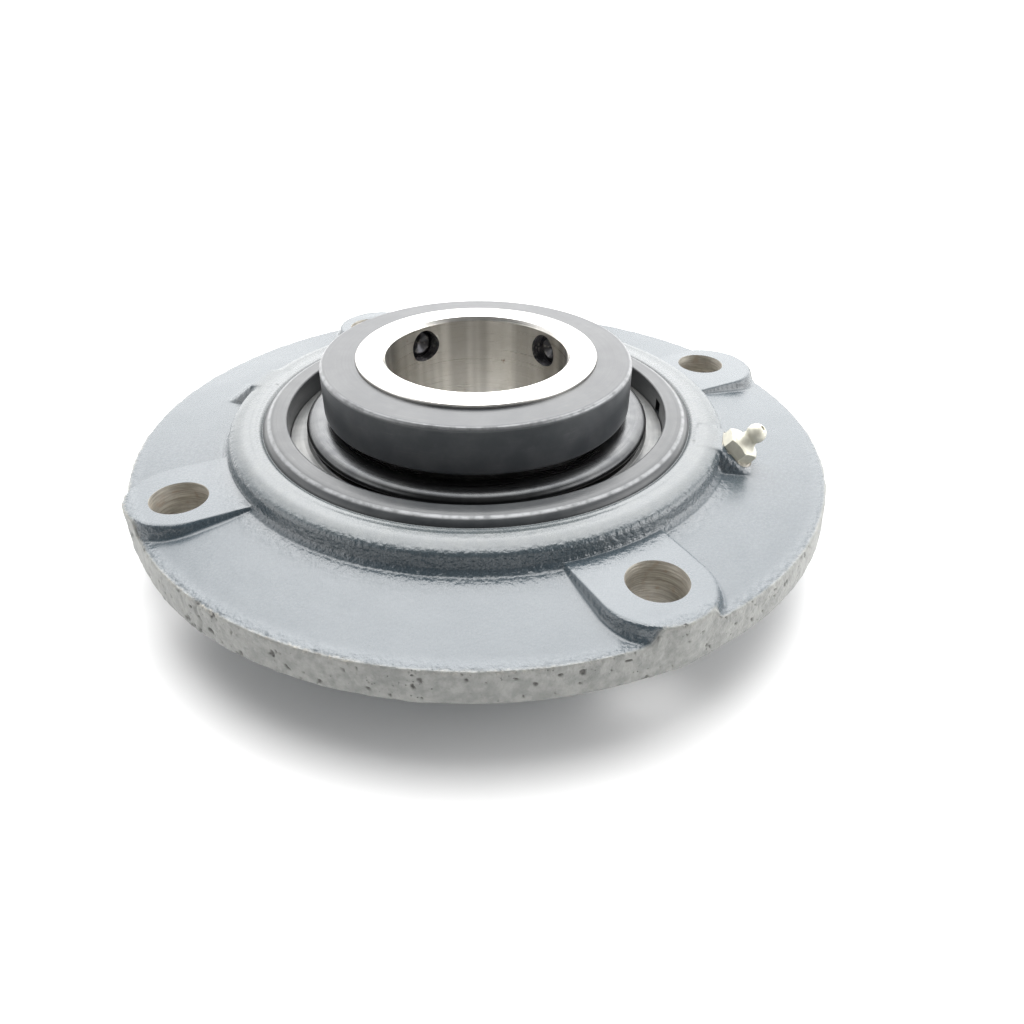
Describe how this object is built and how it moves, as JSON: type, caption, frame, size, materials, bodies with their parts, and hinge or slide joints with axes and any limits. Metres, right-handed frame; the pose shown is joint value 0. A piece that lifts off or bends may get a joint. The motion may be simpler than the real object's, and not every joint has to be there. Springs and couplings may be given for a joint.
{
  "type": "flange mount bearing",
  "caption": "Round piloted iron flange with four bolt pads, carrying a self-aligning ball bearing insert with a locking collar and a grease fitting.",
  "frame": {"origin": "centre of the shaft bore, in the plane of the flange's back face", "axes": "+Z along the bore towards the locking collar; the alignment pin lies on -X"},
  "size_m": [0.2398, 0.2398, 0.0645],
  "materials": {
    "cast_iron_paint": "thin blue-grey paint over rough sand-cast iron",
    "black_oxide": "black oxide over turned steel",
    "bright_steel": "ground bearing steel",
    "ball_steel": "polished",
    "cage_steel": "pressed sheet steel",
    "seal_steel": "phosphated sheet steel",
    "flinger_steel": "dark sheet steel",
    "seal_rubber": "moulded nitrile rubber",
    "screw_black": "black alloy steel",
    "zinc_plate": "pale zinc plate",
    "pin_steel": "ground"
  },
  "bodies": {
    "housing": {"housing": "cast_iron_paint", "grease_fitting": "zinc_plate", "grease_check_spring": "pin_steel"},
    "alignment_pin": {"alignment_pin": "pin_steel"},
    "outer_insert": {"outer_ring": "black_oxide", "upper_seal_case": "seal_steel", "upper_seal_lip": "seal_rubber", "lower_seal_case": "seal_steel", "lower_seal_lip": "seal_rubber"},
    "inner_insert": {"inner_ring": "bright_steel", "upper_flinger": "flinger_steel", "lower_flinger": "flinger_steel", "locking_collar": "black_oxide"},
    "set_screw_a": {"set_screw_a": "screw_black"},
    "set_screw_b": {"set_screw_b": "screw_black"},
    "cage": {"cage_upper": "cage_steel", "cage_lower": "cage_steel", "cage_rivets": "cage_steel"},
    "grease_check_ball": {"grease_check_ball": "ball_steel"},
    "ball_01": {"ball_01": "ball_steel"},
    "ball_02": {"ball_02": "ball_steel"},
    "ball_03": {"ball_03": "ball_steel"},
    "ball_04": {"ball_04": "ball_steel"},
    "ball_05": {"ball_05": "ball_steel"},
    "ball_06": {"ball_06": "ball_steel"},
    "ball_07": {"ball_07": "ball_steel"},
    "ball_08": {"ball_08": "ball_steel"},
    "ball_09": {"ball_09": "ball_steel"},
    "ball_10": {"ball_10": "ball_steel"}
  },
  "joints": [
    {"name": "insert_roll", "type": "hinge", "parent": "housing", "child": "alignment_pin", "pos_m": [0, 0, 0.0025], "axis": [1, 0, 0], "range_deg": [-2, 2]},
    {"name": "insert_pitch", "type": "hinge", "parent": "alignment_pin", "child": "outer_insert", "pos_m": [0, 0, 0.0025], "axis": [0, 1, 0], "range_deg": [-2, 2]},
    {"name": "shaft_spin", "type": "hinge", "parent": "outer_insert", "child": "inner_insert", "pos_m": [0, 0, 0.0025], "axis": [0, 0, 1], "continuous": true},
    {"name": "cage_spin", "type": "hinge", "parent": "outer_insert", "child": "cage", "pos_m": [0, 0, 0.0025], "axis": [0, 0, 1], "continuous": true},
    {"name": "set_screw_a_advance", "type": "slide", "parent": "inner_insert", "child": "set_screw_a", "axis": [-0.7912, -0.6115, 0], "range_m": [-0.0028, 0.003]},
    {"name": "set_screw_b_advance", "type": "slide", "parent": "inner_insert", "child": "set_screw_b", "axis": [0.6115, -0.7912, 0], "range_m": [-0.0028, 0.003]},
    {"name": "grease_check_slide", "type": "slide", "parent": "housing", "child": "grease_check_ball", "axis": [0.5901, -0.1895, 0.7848], "range_m": [-0.0012, 0], "stiffness_N_per_m": 100, "springref_m": 0.003, "deforming": ["grease_check_spring"]},
    {"name": "ball_01_spin", "type": "hinge", "parent": "cage", "child": "ball_01", "pos_m": [0.05334, 0.00845, 0.0025], "axis": [0, 0, 1], "continuous": true},
    {"name": "ball_02_spin", "type": "hinge", "parent": "cage", "child": "ball_02", "pos_m": [0.03818, 0.03818, 0.0025], "axis": [0, 0, 1], "continuous": true},
    {"name": "ball_03_spin", "type": "hinge", "parent": "cage", "child": "ball_03", "pos_m": [0.00845, 0.05334, 0.0025], "axis": [0, 0, 1], "continuous": true},
    {"name": "ball_04_spin", "type": "hinge", "parent": "cage", "child": "ball_04", "pos_m": [-0.02451, 0.04811, 0.0025], "axis": [0, 0, 1], "continuous": true},
    {"name": "ball_05_spin", "type": "hinge", "parent": "cage", "child": "ball_05", "pos_m": [-0.04811, 0.02451, 0.0025], "axis": [0, 0, 1], "continuous": true},
    {"name": "ball_06_spin", "type": "hinge", "parent": "cage", "child": "ball_06", "pos_m": [-0.05334, -0.00845, 0.0025], "axis": [0, 0, 1], "continuous": true},
    {"name": "ball_07_spin", "type": "hinge", "parent": "cage", "child": "ball_07", "pos_m": [-0.03818, -0.03818, 0.0025], "axis": [0, 0, 1], "continuous": true},
    {"name": "ball_08_spin", "type": "hinge", "parent": "cage", "child": "ball_08", "pos_m": [-0.00845, -0.05334, 0.0025], "axis": [0, 0, 1], "continuous": true},
    {"name": "ball_09_spin", "type": "hinge", "parent": "cage", "child": "ball_09", "pos_m": [0.02451, -0.04811, 0.0025], "axis": [0, 0, 1], "continuous": true},
    {"name": "ball_10_spin", "type": "hinge", "parent": "cage", "child": "ball_10", "pos_m": [0.04811, -0.02451, 0.0025], "axis": [0, 0, 1], "continuous": true}
  ],
  "couplings": [
    {"joint": "cage_spin", "follows": "shaft_spin", "ratio": 0.41181},
    {"joint": "ball_01_spin", "follows": "shaft_spin", "ratio": -2.7465},
    {"joint": "ball_02_spin", "follows": "shaft_spin", "ratio": -2.7465},
    {"joint": "ball_03_spin", "follows": "shaft_spin", "ratio": -2.7465},
    {"joint": "ball_04_spin", "follows": "shaft_spin", "ratio": -2.7465},
    {"joint": "ball_05_spin", "follows": "shaft_spin", "ratio": -2.7465},
    {"joint": "ball_06_spin", "follows": "shaft_spin", "ratio": -2.7465},
    {"joint": "ball_07_spin", "follows": "shaft_spin", "ratio": -2.7465},
    {"joint": "ball_08_spin", "follows": "shaft_spin", "ratio": -2.7465},
    {"joint": "ball_09_spin", "follows": "shaft_spin", "ratio": -2.7465},
    {"joint": "ball_10_spin", "follows": "shaft_spin", "ratio": -2.7465}
  ]
}
